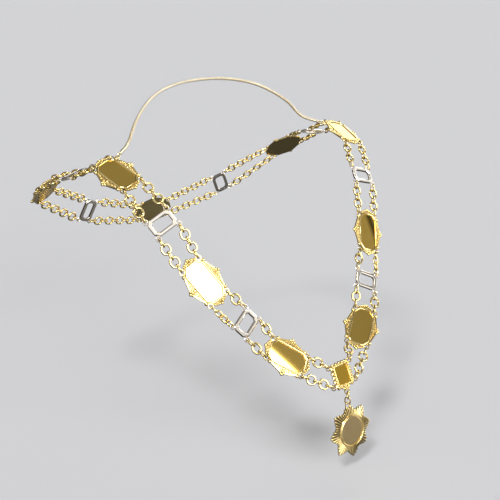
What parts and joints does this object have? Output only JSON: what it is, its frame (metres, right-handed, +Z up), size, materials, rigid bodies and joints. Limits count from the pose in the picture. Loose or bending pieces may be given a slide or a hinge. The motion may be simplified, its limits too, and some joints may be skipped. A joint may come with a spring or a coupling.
{
  "type": "chain of office",
  "caption": "Gilt ceremonial chain of office: octagonal scroll-edged plaques and white metal frames joined by double link chains, a centre link with a star badge, and a fine neck chain.",
  "frame": {"origin": "middle of the worn chain, between the tops of the wearer's shoulders", "axes": "+X towards the wearer's left, -Y the way the wearer faces, +Z up"},
  "size_m": [0.3458, 0.3373, 0.3228],
  "materials": {
    "gold": "polished gilt metal with cast relief",
    "silver": "polished white metal"
  },
  "bodies": {
    "chain": {"centre_link": "gold", "back_plaque": "gold", "right_plaque_1": "gold", "right_plaque_2": "gold", "right_plaque_3": "gold", "left_plaque_1": "gold", "left_plaque_2": "gold", "left_plaque_3": "gold", "right_frame_1": "silver", "right_frame_2": "silver", "left_frame_1": "silver", "left_frame_2": "silver", "back_right_frame_1": "silver", "back_right_plaque_1": "gold", "back_right_frame_2": "silver", "back_left_frame_1": "silver", "back_left_plaque_1": "gold", "back_left_frame_2": "silver", "right_run_1_outer": "gold", "right_run_1_inner": "gold", "right_run_2_outer": "gold", "right_run_2_inner": "gold", "right_run_3_outer": "gold", "right_run_3_inner": "gold", "right_run_4_outer": "gold", "right_run_4_inner": "gold", "right_run_5_outer": "gold", "right_run_5_inner": "gold", "left_run_1_outer": "gold", "left_run_1_inner": "gold", "left_run_2_outer": "gold", "left_run_2_inner": "gold", "left_run_3_outer": "gold", "left_run_3_inner": "gold", "left_run_4_outer": "gold", "left_run_4_inner": "gold", "left_run_5_outer": "gold", "left_run_5_inner": "gold", "back_right_run_1_outer": "gold", "back_right_run_1_inner": "gold", "back_right_run_2_outer": "gold", "back_right_run_2_inner": "gold", "back_right_run_3_outer": "gold", "back_right_run_3_inner": "gold", "back_right_run_4_outer": "gold", "back_right_run_4_inner": "gold", "back_left_run_1_outer": "gold", "back_left_run_1_inner": "gold", "back_left_run_2_outer": "gold", "back_left_run_2_inner": "gold", "back_left_run_3_outer": "gold", "back_left_run_3_inner": "gold", "back_left_run_4_outer": "gold", "back_left_run_4_inner": "gold", "neck_chain": "gold"},
    "drop_links": {"badge_link_upper": "gold", "badge_link_lower": "gold"},
    "badge": {"badge_star": "gold", "badge_disc": "gold"}
  },
  "joints": [
    {"name": "drop_swing", "type": "hinge", "parent": "chain", "child": "drop_links", "pos_m": [0, -0.1831, -0.21132], "axis": [1, 0, 0], "range_deg": [-75, 45]},
    {"name": "badge_swing", "type": "hinge", "parent": "drop_links", "child": "badge", "pos_m": [0, -0.1831, -0.22203], "axis": [-0.5, 0.866, 0], "range_deg": [-40, 40]}
  ]
}
